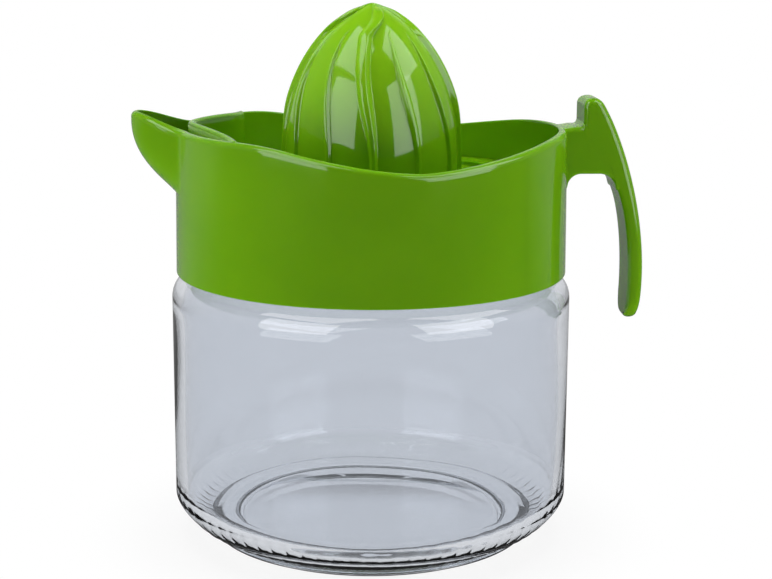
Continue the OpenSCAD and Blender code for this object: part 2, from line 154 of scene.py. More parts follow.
def make_mesh(name: str, points: Array, faces: list[Array]) -> Piece:
    """Writes a closed surface into a new object, with its faces outwards.

    Args:
        name: Name of the object.
        points: Vertices in millimetres, one per row.
        faces: Blocks of faces; each block is an array with one face per row.

    Returns:
        The object, linked to the scene.
    """
    faces = outwards(points, faces)
    mesh = bpy.data.meshes.new(name)
    mesh.vertices.add(len(points))
    mesh.vertices.foreach_set("co", (points * MM).astype(np.float32).ravel())
    loops = np.concatenate([block.ravel() for block in faces]).astype(np.int32)
    sizes = np.concatenate([np.full(len(block), block.shape[1]) for block in faces])
    starts = np.concatenate([[0], np.cumsum(sizes)[:-1]]).astype(np.int32)
    mesh.loops.add(len(loops))
    mesh.loops.foreach_set("vertex_index", loops)
    mesh.polygons.add(len(sizes))
    mesh.polygons.foreach_set("loop_start", starts)
    mesh.polygons.foreach_set("use_smooth", np.ones(len(sizes), bool))
    mesh.update(calc_edges=True)
    mesh.validate()
    piece = bpy.data.objects.new(name, mesh)
    bpy.context.scene.collection.objects.link(piece)
    return piece


def grid_faces(rows: int, columns: int, wrap_rows: bool) -> Array:
    """Quads of a grid whose columns run round and close on themselves.

    Args:
        rows: Number of rows.
        columns: Number of points in a row.
        wrap_rows: Whether the last row joins the first.

    Returns:
        One quad per row.
    """
    i, j = np.meshgrid(np.arange(rows if wrap_rows else rows - 1), np.arange(columns), indexing="ij")
    i2, j2 = (i + 1) % rows, (j + 1) % columns
    quads = np.stack([i * columns + j, i * columns + j2, i2 * columns + j2, i2 * columns + j], axis=-1)
    return quads.reshape(-1, 4)


def capped_surface(name: str, *grids: Array) -> Piece:
    """Tubes in one object, each closed by a fan to the middle of its first and of its last row.

    Args:
        name: Name of the object.
        grids: The points of each tube, rows by columns by 3.

    Returns:
        The object.
    """
    points: list[Array] = []
    quads: list[Array] = []
    fans: list[Array] = []
    first = 0
    for grid in grids:
        rows, columns = grid.shape[:2]
        n = rows * columns
        tube = np.concatenate([grid.reshape(-1, 3), [grid[0].mean(axis=0), grid[-1].mean(axis=0)]])
        j = np.arange(columns)
        j2 = (j + 1) % columns
        start = np.stack([np.full(columns, n), j2, j], axis=-1)
        end = np.stack([np.full(columns, n + 1), n - columns + j, n - columns + j2], axis=-1)
        blocks = outwards(tube, [grid_faces(rows, columns, False), start, end])
        points.append(tube)
        quads.append(blocks[0] + first)
        fans += [blocks[1] + first, blocks[2] + first]
        first += len(tube)
    return make_mesh(name, np.concatenate(points), [np.concatenate(quads), *fans])


def rounded_section(
    half_a: Array, half_b: Array, r_low: float, r_high: float, steps: int = 9
) -> Pair:
    """A rectangle with rounded corners, one for each entry of the sizes.

    The outline runs round the four corners: each corner's centre is its radius inside the
    corner, and the points lie on a quarter circle round it, with one more point close to each
    end of the quarter so that the flat sides stay flat.

    Args:
        half_a: Half of the size along the first axis.
        half_b: Half of the size along the second axis.
        r_low: Radius of the two corners at -a.
        r_high: Radius of the two corners at +a.
        steps: Points in each corner.

    Returns:
        Two arrays, entries by points, with the outline's two coordinates.
    """
    a_parts: list[Array] = []
    b_parts: list[Array] = []
    limit = np.minimum(half_a, half_b)
    for sign_a, sign_b, start, radius in (
        (1, 1, 0, r_high), (-1, 1, 90, r_low), (-1, -1, 180, r_low), (1, -1, 270, r_high),
    ):
        r = np.minimum(radius, limit)[:, None]
        t = np.radians(np.linspace(start, start + 90, steps))[None, :]
        a = sign_a * (half_a[:, None] - r) + r * np.cos(t)
        b = sign_b * (half_b[:, None] - r) + r * np.sin(t)
        lead = 0.12 * (limit[:, None] * 2 - r).clip(0.0, 2.0)
        t0, t1 = t[0, 0], t[0, -1]
        a_parts += [a[:, :1] + lead * math.sin(t0), a, a[:, -1:] - lead * math.sin(t1)]
        b_parts += [b[:, :1] - lead * math.cos(t0), b, b[:, -1:] + lead * math.cos(t1)]
    return np.concatenate(a_parts, axis=1), np.concatenate(b_parts, axis=1)


# ---- Finishes --------------------------------------------------------------------


def add_node(tree: Tree, kind: str, inputs: dict[str | int, object], **settings: object) -> Node:
    """Adds a shader node.

    Args:
        tree: The node tree.
        kind: The node's type, without "ShaderNode".
        inputs: For the name or number of an input, its value or the output that feeds it.
        settings: The node's own settings.

    Returns:
        The node.
    """
    node = tree.nodes.new("ShaderNode" + kind)
    for key, value in settings.items():
        setattr(node, key, value)
    for key, value in inputs.items():
        if isinstance(value, bpy.types.NodeSocket):
            tree.links.new(value, node.inputs[key])
        else:
            node.inputs[key].default_value = value
    return node


def new_material(name: str) -> tuple[Material, Tree]:
    """An empty node material.

    Args:
        name: Name of the material.

    Returns:
        The material and its node tree.
    """
    material = bpy.data.materials.new(name)
    material.use_nodes = True
    material.node_tree.nodes.clear()
    return material, material.node_tree


def noise(tree: Tree, scale: float, detail: float) -> Socket:
    """Noise on Object coordinates; scale is in cycles per metre."""
    where = add_node(tree, "TexCoord", {}).outputs["Object"]
    return add_node(tree, "TexNoise", {"Vector": where, "Scale": scale, "Detail": detail}).outputs["Fac"]


def spread(tree: Tree, source: Socket, low: float, high: float) -> Socket:
    """Maps a noise value, about 0.3 to 0.7, to the span from low to high."""
    inputs = {"Value": source, "From Min": 0.3, "From Max": 0.7, "To Min": low, "To Max": high}
    return add_node(tree, "MapRange", inputs).outputs["Result"]


def blend(tree: Tree, share: Socket, start: Triple, end: Triple) -> Socket:
    """Mixes two colours by a share from 0 to 1."""
    inputs = {"Factor": share, "A": (*start, 1.0), "B": (*end, 1.0)}
    return add_node(tree, "Mix", inputs, data_type="RGBA").outputs["Result"]


def bumps(tree: Tree, height: Socket, strength: float, depth_mm: float) -> Socket:
    """The normal of a surface with bumps of a depth."""
    inputs = {"Height": height, "Strength": strength, "Distance": depth_mm * MM}
    return add_node(tree, "Bump", inputs).outputs["Normal"]


@dataclass(frozen=True)
class Finish(ABC):
    """A surface finish made of one Principled shader."""

    name: str

    @abstractmethod
    def inputs(self, tree: Tree) -> dict[str, object]:
        """The shader's inputs by name: values, or outputs of nodes added to the tree.

        Args:
            tree: The material's node tree.

        Returns:
            The shader's inputs by name.
        """

    def material(self) -> Material:
        """Builds the material.

        Returns:
            A material with the finish's shader at its output.
        """
        material, tree = new_material(self.name)
        shader = add_node(tree, "BsdfPrincipled", self.inputs(tree))
        add_node(tree, "OutputMaterial", {"Surface": shader.outputs["BSDF"]})
        return material


@dataclass(frozen=True)
class GlossyPlastic(Finish):
    """Moulded glossy plastic: a solid colour with a faint flow pattern, slightly uneven gloss,
    light that enters thin edges, and a fine ripple in the moulded skin."""

    name: str = "green_plastic"
    dark: Triple = (0.112, 0.284, 0.0022)
    light: Triple = (0.127, 0.310, 0.0030)
    flow_scale: float = 38.0
    roughness: Span = (0.045, 0.085)
    gloss_scale: float = 160.0
    subsurface: float = 0.45
    depths: Triple = (0.6, 1.0, 0.25)
    radius_mm: float = 1.1
    skin_scale: float = 70.0
    ripple_share: float = 0.35
    ripple_mm: float = 0.008
    ior: float = 1.5

    def inputs(self, tree: Tree) -> dict[str, object]:
        """Flow in the colour, unevenness in the gloss and a ripple in the normal.

        Args:
            tree: The material's node tree.

        Returns:
            The shader's inputs by name.
        """
        flow = spread(tree, noise(tree, self.flow_scale, 2.0), 0.0, 1.0)
        return {
            "Base Color": blend(tree, flow, self.dark, self.light),
            "Roughness": spread(tree, noise(tree, self.gloss_scale, 3.0), *self.roughness),
            "Normal": bumps(tree, noise(tree, self.skin_scale, 1.0), self.ripple_share, self.ripple_mm),
            "IOR": self.ior,
            "Subsurface Weight": self.subsurface,
            "Subsurface Radius": self.depths,
            "Subsurface Scale": self.radius_mm * MM,
        }


@dataclass(frozen=True)
class PressedGlass(Finish):
    """Clear pressed glass with a slow ripple left by the mould. Its blue-grey colour is partly the glass's
    own and partly painted shade: the dim backdrop seen through it.
    """

    name: str = "clear_glass"
    # Partly the glass's own faint blue-grey, partly painted shade of the dim backdrop seen through the
    # glass.
    tint_and_backdrop_shade: Triple = (0.728, 0.755, 0.800)
    ior: float = 1.5
    haze: Span = (0.0, 0.02)
    haze_scale: float = 55.0
    wave_scale: float = 42.0
    ripple_share: float = 0.5
    ripple_mm: float = 0.02

    def inputs(self, tree: Tree) -> dict[str, object]:
        """Full transmission, with a trace of haze and a ripple in the normal.

        Args:
            tree: The material's node tree.

        Returns:
            The shader's inputs by name.
        """
        return {
            "Base Color": (*self.tint_and_backdrop_shade, 1.0),
            "Transmission Weight": 1.0,
            "IOR": self.ior,
            "Roughness": spread(tree, noise(tree, self.haze_scale, 2.0), *self.haze),
            "Normal": bumps(tree, noise(tree, self.wave_scale, 1.5), self.ripple_share, self.ripple_mm),
        }


@dataclass(frozen=True)
class Silicone(Finish):
    """Soft white silicone with a matt, dusty skin."""

    name: str = "white_silicone"
    low: Triple = (0.66, 0.66, 0.62)
    high: Triple = (0.78, 0.78, 0.74)
    roughness: Span = (0.42, 0.58)
    dust_scale: float = 420.0
    subsurface: float = 0.2
    depths: Triple = (1.0, 0.9, 0.8)
    radius_mm: float = 1.0

    def inputs(self, tree: Tree) -> dict[str, object]:
        """Dust in the colour and in the roughness.

        Args:
            tree: The material's node tree.

        Returns:
            The shader's inputs by name.
        """
        dust = noise(tree, self.dust_scale, 4.0)
        return {
            "Base Color": blend(tree, spread(tree, dust, 0.0, 1.0), self.low, self.high),
            "Roughness": spread(tree, dust, *self.roughness),
            "Subsurface Weight": self.subsurface,
            "Subsurface Radius": self.depths,
            "Subsurface Scale": self.radius_mm * MM,
        }


# The reamer cone is the same green plastic. This lighter copy is painted light: it stands in for more light
# on the cone and for light through its thin wall.
PAINTED_LIGHT_PLASTIC = GlossyPlastic("green_plastic_painted_light", dark=(0.160, 0.372, 0.0042), light=(0.184, 0.410, 0.0054))


def dress(piece: Piece, material: Material) -> None:
    """Gives a piece one material in all its slots."""
    piece.data.materials.clear()
    piece.data.materials.append(material)


class Body(Enum):
    """The bodies that new pieces ride on."""

    JAR = "jar"
    PRESS_TOP = "press_top"
    CONE = "cone"


class Slot(Enum):
    """The record's material slots of the new pieces."""

    GREEN = "green_plastic"
    GLASS = "clear_glass"


def place(piece: Piece, body: Body, slot: Slot, material: Material, *nodes: str) -> None:
    """Dresses a piece and makes it ride on a body.

    Args:
        piece: The piece.
        body: The body that it moves with.
        slot: Not used; the record's slot of its finish.
        material: Its material.
        nodes: The CAD nodes that it stands for, if any.
    """
    dress(piece, material)
    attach(piece, body.value)
    if nodes:
        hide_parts(*nodes)
    LOG.info("%s: %d vertices, on %s", piece.name, len(piece.data.vertices), body.value)


def dress_cad_node(piece: Piece, material: Material) -> None:
    """Gives a CAD node that is shown as it is its finish."""
    dress(piece, material)
    LOG.info("%s keeps its solid", piece.name)


# ---- Press top -------------------------------------------------------------------


@dataclass
class Rim:
    """Height of the press top's rim."""

    high: float = 113.8
    low: float = 107.6
    dip_x: float = 10.0
    dip_w: float = 39.5
    dip_power: float = 1.5
    dip_soft: float = 0.25
    spout_rise: float = 4.5
    spout_from: float = -49.5
    spout_run: float = 17.0

    def height(self, x: Array | float) -> Array | float:
        """High by the spout and the handle, one dip between them in the shape of |x|^dip_power,
        and a smooth rise along the spout.

        Args:
            x: Distance from the axis towards the handle.

        Returns:
            The rim's height at each x.
        """
        dip = soft_min((np.abs(x - self.dip_x) / self.dip_w) ** self.dip_power, 1.0, self.dip_soft)
        rise = smooth_step((self.spout_from - x) / self.spout_run)
        return self.low + (self.high - self.low) * dip + self.spout_rise * rise


@dataclass
class Collar:
    """The collar with its spout: a drafted ring, drawn out towards -X into the spout, with a wavy
    rim, and a ledge inside that presses the seal down."""

    rim: Rim = field(default_factory=Rim)
    r_low: float = 53.7
    r_high: float = 53.2
    bore: float = 50.9
    bottom: float = 74.1
    foot_round: float = 0.5
    ledge_low: float = 90.5
    ledge_high: float = 92.5
    ledge_r: float = 44.4
    ledge_edge: float = 0.3
    ledge_fillet: float = 0.5
    ledge_bevel: float = 0.4
    reach: float = 12.0
    half_w: float = 14.5
    full_h: float = 116.0
    drop: float = 19.3
    drop_power: float = 2.2
    side_soft: float = 0.10
    inner_reach: float = 12.6
    inner_half_w: float = 12.3
    inner_drop: float = 17.1
    rim_round: float = 1.45
    inner_round: float = 0.35
    columns: int = 640

    def face(self, a: Array, z: Array, r: Array | float, reach: float, half_w: float, drop: float) -> Pair:
        """A circle pushed towards -X by the spout, by reach times two shares: across the spout the
        positive part of cos(pi y / 2 half_w), and down it 1 - ((full_h - z) / drop)^drop_power.

        Args:
            a: Angle from -X, in radians.
            z: Height.
            r: Radius of the circle.
            reach: The push at the spout's middle and full height.
            half_w: Half of the spout's width.
            drop: How far below its full height the spout begins.

        Returns:
            x and y.
        """
        y = r * np.sin(a)
        across = np.cos(np.pi / 2 * np.minimum(np.abs(y) / half_w, 2.0))
        bulge = np.where(np.cos(a) > 0, soft_positive(across, self.side_soft), 0.0)
        down = np.clip((self.full_h - z) / drop, 0.0, 1.0)
        return -r * np.cos(a) - reach * (1.0 - down**self.drop_power) * bulge, y

    def outer(self, a: Array, z: Array) -> Pair:
        """Outside of the wall, with its draft."""
        r = self.r_low + (self.r_high - self.r_low) * (z - self.bottom) / (self.rim.high - self.bottom)
        return self.face(a, z, r, self.reach, self.half_w, self.drop)

    def inner(self, a: Array, z: Array) -> Pair:
        """Inside of the wall."""
        return self.face(a, z, self.bore, self.inner_reach, self.inner_half_w, self.inner_drop)

    def top(self, a: Array) -> Array:
        """Height of the rim at each angle, taken at the middle of the wall."""
        high = np.full_like(a, self.full_h)
        return self.rim.height((self.outer(a, high)[0] + self.inner(a, high)[0]) / 2)

    def lower_section(self) -> Array:
        """The section below the spout, where it is the same all the way round: from the inside of the
        wall round the ledge and down the bore to the lower edge.

        Returns:
            Points (r, z).
        """
        edge, fillet, bevel, foot = self.ledge_edge, self.ledge_fillet, self.ledge_bevel, self.foot_round
        return np.concatenate([
            corner(self.bore - fillet, self.ledge_high + fillet, fillet, 0, -90, 4)[1:],
            [[(self.bore + self.ledge_r) / 2, self.ledge_high]],
            corner(self.ledge_r + edge, self.ledge_high - edge, edge, 90, 180, 4),
            corner(self.ledge_r + edge, self.ledge_low + edge, edge, 180, 270, 4),
            [[self.bore - bevel, self.ledge_low], [self.bore, self.ledge_low - bevel]],
            straight((self.bore, self.ledge_low - 2), (self.bore, self.bottom + 1.2), 8),
            corner(self.bore + foot, self.bottom + foot, foot, 180, 270, 4),
        ])

    def shell(self) -> Piece:
        """The wall as one closed grid of angle by section: up the outside, over the rounded rim,
        down the inside, and round the lower section back to the foot.

        Returns:
            The collar's wall.
        """
        a = np.linspace(-math.pi, math.pi, self.columns, endpoint=False)
        top = self.top(a)
        foot = self.bottom + self.foot_round
        rows: list[Array] = []
        foot_x, foot_y = self.outer(a, np.full_like(a, foot))
        for t in np.radians(np.linspace(-90, 0, 5)):
            share = (self.r_low - self.foot_round * (1 - math.cos(t))) / self.r_low
            rows.append(stack_xyz(foot_x * share, foot_y * share, foot + self.foot_round * math.sin(t)))
        for s in np.linspace(0, 1, 76)[1:]:
            z = foot + s * (top - self.rim_round - foot)
            rows.append(stack_xyz(*self.outer(a, z), z))
        # Over the rim, each level of a rounded edge is the face's own outline at that height,
        # moved across the wall by a share of its thickness.
        outside = np.stack(self.outer(a, top))
        across = np.stack(self.inner(a, top)) - outside
        thick = np.hypot(*across)
        for t in np.radians(np.linspace(0, 90, 11))[1:]:
            z = top - self.rim_round * (1 - math.sin(t))
            moved = np.stack(self.outer(a, z)) + across * (self.rim_round / thick * (1 - math.cos(t)))
            rows.append(stack_xyz(*moved, z))
        middle = (self.rim_round / thick + (1 - self.inner_round / thick)) / 2
        rows.append(stack_xyz(*(outside + across * middle), top))
        for t in np.radians(np.linspace(90, 0, 6)):
            z = top - self.inner_round * (1 - math.sin(t))
            moved = np.stack(self.inner(a, z)) - across * (self.inner_round / thick * (1 - math.cos(t)))
            rows.append(stack_xyz(*moved, z))
        for s in np.linspace(0, 1, 60)[1:]:
            z = top - self.inner_round + s * (self.ledge_high + self.ledge_fillet - top + self.inner_round)
            rows.append(stack_xyz(*self.inner(a, z), z))
        section = self.lower_section()
        rows.extend(stack_xyz(-section[:, :1] * np.cos(a), section[:, :1] * np.sin(a), section[:, 1:]))
        return make_mesh("collar_shell", np.concatenate(rows), [grid_faces(len(rows), self.columns, True)])


@dataclass
class ThreadRidge:
    """One turn of a trapezoidal ridge inside the collar, which fades out at both ends."""

    root: float = 50.9
    depth: float = 2.2
    sink: float = 0.3
    start_h: float = 76.35
    pitch: float = 6.0
    root_w: float = 2.6
    fade: float = math.radians(24)
    stations: int = 300

    def ridge(self) -> Piece:
        """A trapezoid with soft corners, carried along the helix z = start + pitch a / 2 pi and sunk
        a little into the wall. Its height is cut by a share that grows from 0 at each end.

        Returns:
            The ridge.
        """
        a = np.linspace(0, 2 * math.pi, self.stations)[:, None]
        fade = np.minimum(np.minimum(1.0, a / self.fade), (2 * math.pi - a) / self.fade)
        across = np.array([-0.5, -0.5, -0.42, -0.30, -0.16, 0.16, 0.30, 0.42, 0.5, 0.5])
        tall = np.array([-0.30, 0.0, 0.35, 0.86, 1.0, 1.0, 0.86, 0.35, 0.0, -0.30])
        r = self.root + self.sink - (self.depth + self.sink) * np.where(tall > 0, tall * fade, tall)
        z = self.start_h + self.pitch * a / (2 * math.pi) + across * self.root_w
        return capped_surface("collar_thread", revolve(r, z, a))


@dataclass
class BowlWall:
    """The thin wall that parts the bowl from the pouring duct, with the foot that the strainer
    rests on."""

    rim: Rim = field(default_factory=Rim)
    apex: float = 48.9
    slope: float = 0.435
    point: float = 20.0
    turn_from: float = 25.0
    turn: float = 0.012
    half_t: float = 1.0
    foot: float = 96.7
    ledge_high: float = 98.0
    ledge_w: float = 2.6
    rise: float = 1.5
    fall: float = 0.0073
    end_y: float = 36.4
    stations: int = 200

    def middle(self, y: Array) -> Array:
        """x of the middle line: two sides that meet in a rounded point and turn back at their ends."""
        back = self.turn * np.maximum(np.abs(y) - self.turn_from, 0.0) ** 2
        return -self.apex + self.slope * (np.sqrt(y * y + self.point) - math.sqrt(self.point)) - back

    def wall(self) -> Piece:
        """The section, carried along the middle line: up one side, over the rounded top, down the
        other side and round the foot. The top falls with the square of the distance from the apex.

        Returns:
            The wall.
        """
        y = np.linspace(-self.end_y, self.end_y, self.stations)
        x = self.middle(y)
        dx, dy = np.gradient(x), np.gradient(y)
        length = np.hypot(dx, dy)
        t, side_w, ledge = self.half_t, self.ledge_w, self.ledge_high
        side_top = (self.rim.high + self.rise - self.fall * (x + self.apex) ** 2 - t)[:, None]
        up = np.linspace(0, 1, 9)
        arc = np.radians(np.linspace(180, 0, 13))
        foot_z = [ledge + 0.12, ledge, ledge, ledge - 0.3, self.foot + 0.2, self.foot]
        off = np.concatenate([
            np.full(9, -t), t * np.cos(arc), np.full(8, t),
            [t + 0.12, t + 0.4, side_w - 0.3, side_w, side_w, side_w - 0.2],
        ])
        high = np.concatenate([
            self.foot + (side_top - self.foot) * up,
            side_top + t * np.sin(arc),
            side_top + (ledge + 0.4 - side_top) * up[1:],
            np.broadcast_to(foot_z, (self.stations, len(foot_z))),
        ], axis=1)
        grid_x = x[:, None] + (dy / length)[:, None] * off
        grid_y = y[:, None] - (dx / length)[:, None] * off
        return capped_surface("bowl_wall", stack_xyz(grid_x, grid_y, high))


@dataclass
class StrainerShelf:
    """The shelf round the bore that carries the strainer."""

    bore: float = 50.9
    width: float = 2.6
    sink: float = 0.6
    edge: float = 0.3
    low: float = 96.4
    high: float = 98.0
    start: float = math.radians(47.0)
    stations: int = 260

    def shelf(self) -> Piece:
        """A section with rounded corners, carried round from one end of the bowl wall to the other.

        Returns:
            The shelf.
        """
        a = np.linspace(self.start, 2 * math.pi - self.start, self.stations)[:, None]
        centre = self.bore - self.width + self.edge
        r, z = np.concatenate([
            [[self.bore + self.sink, self.low]],
            corner(centre, self.low + self.edge, self.edge, 270, 180, 4),
            corner(centre, self.high - self.edge, self.edge, 180, 90, 4),
            [[self.bore + self.sink, self.high]],
        ]).T
        return capped_surface("strainer_shelf", stack_xyz(-r * np.cos(a), r * np.sin(a), z))


@dataclass
class Handle:
    """The handle's bowed arm with its thumb rest, and the bridge that joins it to the collar."""

    rim: Rim = field(default_factory=Rim)
    half_w: float = 7.0
    top: float = 121.8
    end: float = 59.9
    end_round: float = 1.9
    thumb_x: float = 57.4
    thumb_low: float = 98.5
    thumb_run: float = 13.5
    thumb_round: float = 2.2
    back_round: float = 1.5
    back_share: float = 0.8
    outer_curve: Curve = ((61.8, 121.9), (67.2, 114.8), (78.0, 87.5), (74.3, 61.8))
    inner_curve: Curve = ((66.7, 97.8), (70.4, 91.0), (71.6, 74.5), (70.5, 62.4))
    outer_edge: float = 2.0
    inner_edge: float = 1.3
    top_edge: float = 2.2
    least: float = 0.02
    bridge_top: float = 114.0
    bridge_under: float = 101.2
    bridge_low: float = 97.0
    bridge_from: float = 51.6
    bridge_sink: float = 2.7
    bridge_edge_high: float = 1.6
    bridge_edge_low: float = 1.2
    collar_x: float = 53.2
    collar_arch: float = 4.0
    arm_x: float = 62.2
    arm_arch: float = 4.5
    rim_x: float = 51.9
    rim_sink: float = 0.03
    rise_from: float = 52.2
    rise_run: float = 3.2
    fillet: float = 1.2

    @staticmethod
    def curve_x(points: Curve, z: Array) -> Array:
        """x of a face's curve at each height."""
        curve = bezier(points, 400)
        return np.interp(z, curve[::-1, 1], curve[::-1, 0])

    def side(self, z: Array) -> Pair:
        """x of the arm's inner and outer faces at each height.

        The outer face follows one cubic curve. The inner face follows another up to the bridge,
        crosses it, and is upright at the thumb rest. Both close in a round at the free end and at
        the top.

        Args:
            z: Heights, from end to top.

        Returns:
            x of the inner face, and x of the outer face.
        """
        x_in, x_out = self.curve_x(self.inner_curve, z), self.curve_x(self.outer_curve, z)
        x_in = x_in + (self.thumb_x - x_in) * smooth_step((z - self.thumb_low) / self.thumb_run)
        closed = quarter(self.end + self.end_round - z, self.end_round) / self.end_round
        middle = (x_in + x_out) / 2
        x_in, x_out = x_in + (middle - x_in) * closed, x_out + (middle - x_out) * closed
        x_in = x_in + quarter(z - self.top + self.thumb_round, self.thumb_round)
        x_out = x_out - self.back_share * quarter(z - self.top + self.back_round, self.back_round)
        return x_in, np.maximum(x_out, x_in + self.least)

    def arm(self) -> Piece:
        """Level slices of the arm, each a rectangle with rounded corners. Its width is full between
        a half circle at the free end and a round at the top.

        Returns:
            The arm.
        """
        # The lowest slice lies a hair above the end, so that it has an area.
        low = self.end + self.half_w * (1 - np.cos(np.radians(np.linspace(0, 90, 26)))) * 0.999 + 0.004
        high = self.top - self.top_edge * (1 - np.sin(np.radians(np.linspace(0, 90, 16))))
        z = np.concatenate([low, np.linspace(low[-1], high[0], 90)[1:-1], high])
        x_in, x_out = self.side(z)
        half_b = (
            self.half_w
            - quarter(self.end + self.half_w - z, self.half_w)
            - quarter(z - self.top + self.top_edge, self.top_edge)
        )
        half_b = np.maximum(half_b, self.least)
        a, b = rounded_section((x_out - x_in) / 2, half_b, self.inner_edge, self.outer_edge)
        x = (x_in + x_out)[:, None] / 2 + a
        return capped_surface("handle_arm", stack_xyz(x, b, z[:, None]))

    def bridge(self) -> Piece:
        """The web from the collar to the arm: upright slices from inside the collar's wall to inside
        the arm, arched below by a quarter circle at each end, flush with the rim above. A slice runs
        round its four rounded edges; each point has a place across the width and an inset from the
        upper or the lower side.

        Returns:
            The bridge.
        """
        count = 9
        t = np.radians(np.linspace(0, 90, count))
        wide: list[Array] = []
        inset: list[Array] = []
        for side_z, side_y in ((1, -1), (1, 1), (-1, 1), (-1, -1)):
            r = self.bridge_edge_high if side_z > 0 else self.bridge_edge_low
            turn = t if side_z * side_y < 0 else t[::-1]
            wide.append(side_y * (self.half_w - 0.002 - r + r * np.cos(turn)))
            inset.append(side_z * (r * np.sin(turn) - r))
        is_top = np.repeat([True, True, False, False], count)
        ends = self.curve_x(self.outer_curve, np.where(is_top, self.bridge_top, self.bridge_low))
        s = np.concatenate([np.linspace(0, 0.16, 10), np.linspace(0.16, 1.0, 70)[1:]])[:, None]
        x = self.bridge_from + s * (ends - self.bridge_sink - self.bridge_from)
        left = quarter(self.collar_x + self.collar_arch - x, self.collar_arch)
        under = self.bridge_under - left - quarter(x - self.arm_x, self.arm_arch)
        rim_level = self.rim.height(self.rim_x) - self.rim_sink
        over = rim_level + (self.bridge_top - rim_level) * smooth_step((x - self.rise_from) / self.rise_run)
        over = over + quarter(x - self.thumb_x + self.fillet, self.fillet)
        z = np.where(is_top, over, under) + np.concatenate(inset)
        return capped_surface("handle_bridge", stack_xyz(x, np.concatenate(wide), z))


@dataclass
class PressTop:
    """Everything that is moulded in one with the collar."""

    rim: Rim = field(default_factory=Rim)

    def build(self, plastic: Material) -> None:
        """Builds and dresses the collar, its thread, the bowl wall, the shelf and the handle.

        Args:
            plastic: The press top's material.
        """
        body, slot = Body.PRESS_TOP, Slot.GREEN
        place(Collar(self.rim).shell(), body, slot, plastic, "pouring_collar")
        place(ThreadRidge().ridge(), body, slot, plastic)
        place(BowlWall(self.rim).wall(), body, slot, plastic)
        place(StrainerShelf().shelf(), body, slot, plastic)
        handle = Handle(self.rim)
        place(handle.arm(), body, slot, plastic)
        place(handle.bridge(), body, slot, plastic)


# ---- Reamer cone -----------------------------------------------------------------


